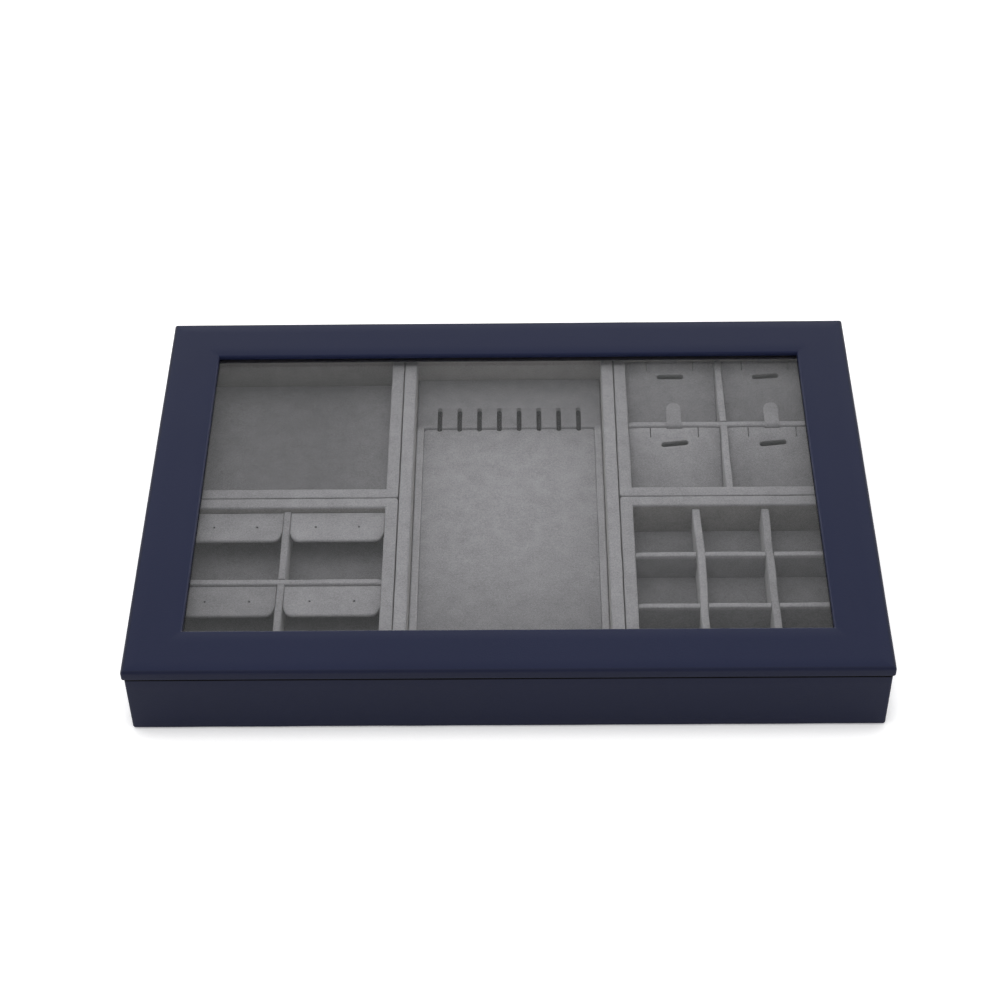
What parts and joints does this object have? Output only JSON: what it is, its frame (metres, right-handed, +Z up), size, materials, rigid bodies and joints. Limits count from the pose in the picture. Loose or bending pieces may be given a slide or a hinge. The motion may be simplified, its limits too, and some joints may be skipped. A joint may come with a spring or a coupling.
{
  "type": "lidded jewelry display tray",
  "caption": "Flat leatherette jewelry display case with a hinged windowed lid and loose suede trays for rings, earrings, pendants, bracelets and necklaces.",
  "frame": {"origin": "middle of the flat underside that the case rests on", "axes": "+X to the right seen from the front, +Y to the hinges at the back, +Z up"},
  "size_m": [0.35, 0.2435, 0.0404],
  "materials": {
    "navy_leatherette": "fine grained navy leatherette, satin",
    "grey_suede": "short napped grey microsuede, matt",
    "dark_liner": "dark felt liner, matt",
    "board": "raw fibreboard",
    "pane": "clear polished acrylic sheet",
    "hinge_steel": "nickel plated pressed steel",
    "magnet_steel": "plated disc"
  },
  "bodies": {
    "base": {"base_front_wall": "board", "base_back_wall": "board", "base_left_wall": "board", "base_right_wall": "board", "base_bottom_board": "board", "base_cover": "navy_leatherette", "base_underside_liner": "dark_liner", "base_floor_lining": "grey_suede", "base_magnet_left": "magnet_steel", "base_magnet_right": "magnet_steel", "hinge_left_base_leaf": "hinge_steel", "hinge_right_base_leaf": "hinge_steel", "hinge_left_pin": "hinge_steel", "hinge_right_pin": "hinge_steel"},
    "lid": {"lid_frame_board": "board", "lid_cover": "navy_leatherette", "lid_window_pane": "pane", "lid_backing_frame": "dark_liner", "lid_keeper_left": "magnet_steel", "lid_keeper_right": "magnet_steel", "hinge_left_lid_leaf": "hinge_steel", "hinge_right_lid_leaf": "hinge_steel"},
    "bracelet_tray": {"bracelet_tray": "grey_suede", "bracelet_floor_pad": "grey_suede"},
    "earring_tray": {"earring_tray": "grey_suede", "earring_floor_pad": "grey_suede", "earring_long_divider": "grey_suede", "earring_cross_divider": "grey_suede", "earring_card_front_left": "grey_suede", "earring_card_front_right": "grey_suede", "earring_card_back_left": "grey_suede", "earring_card_back_right": "grey_suede"},
    "necklace_tray": {"necklace_tray": "grey_suede", "necklace_slot_block": "grey_suede", "necklace_pad": "grey_suede"},
    "pendant_tray": {"pendant_tray": "grey_suede", "pendant_floor_pad": "grey_suede", "pendant_long_divider": "grey_suede", "pendant_cross_divider": "grey_suede"},
    "pendant_card_front_left": {"pendant_ramp_front_left": "grey_suede", "pendant_pull_tab_front_left": "grey_suede"},
    "pendant_card_front_right": {"pendant_ramp_front_right": "grey_suede", "pendant_pull_tab_front_right": "grey_suede"},
    "pendant_card_back_left": {"pendant_ramp_back_left": "grey_suede", "pendant_pull_tab_back_left": "grey_suede"},
    "pendant_card_back_right": {"pendant_ramp_back_right": "grey_suede", "pendant_pull_tab_back_right": "grey_suede"},
    "ring_tray": {"ring_tray": "grey_suede", "ring_floor_pad": "grey_suede", "ring_long_divider_1": "grey_suede", "ring_long_divider_2": "grey_suede", "ring_cross_divider_1": "grey_suede", "ring_cross_divider_2": "grey_suede"}
  },
  "joints": [
    {"name": "lid_hinge", "type": "hinge", "parent": "base", "child": "lid", "pos_m": [0, 0.1219, 0.03495], "axis": [-1, 0, 0], "range_deg": [0, 105]},
    {"name": "bracelet_tray_lift", "type": "slide", "parent": "base", "child": "bracelet_tray", "axis": [0, 0, 1], "range_m": [0, 0.002]},
    {"name": "earring_tray_lift", "type": "slide", "parent": "base", "child": "earring_tray", "axis": [0, 0, 1], "range_m": [0, 0.002]},
    {"name": "necklace_tray_lift", "type": "slide", "parent": "base", "child": "necklace_tray", "axis": [0, 0, 1], "range_m": [0, 0.002]},
    {"name": "pendant_tray_lift", "type": "slide", "parent": "base", "child": "pendant_tray", "axis": [0, 0, 1], "range_m": [0, 0.002]},
    {"name": "ring_tray_lift", "type": "slide", "parent": "base", "child": "ring_tray", "axis": [0, 0, 1], "range_m": [0, 0.002]},
    {"name": "pendant_card_front_left_lift", "type": "slide", "parent": "pendant_tray", "child": "pendant_card_front_left", "axis": [0, 0, 1], "range_m": [0, 0.001]},
    {"name": "pendant_card_front_right_lift", "type": "slide", "parent": "pendant_tray", "child": "pendant_card_front_right", "axis": [0, 0, 1], "range_m": [0, 0.001]},
    {"name": "pendant_card_back_left_lift", "type": "slide", "parent": "pendant_tray", "child": "pendant_card_back_left", "axis": [0, 0, 1], "range_m": [0, 0.001]},
    {"name": "pendant_card_back_right_lift", "type": "slide", "parent": "pendant_tray", "child": "pendant_card_back_right", "axis": [0, 0, 1], "range_m": [0, 0.001]}
  ]
}
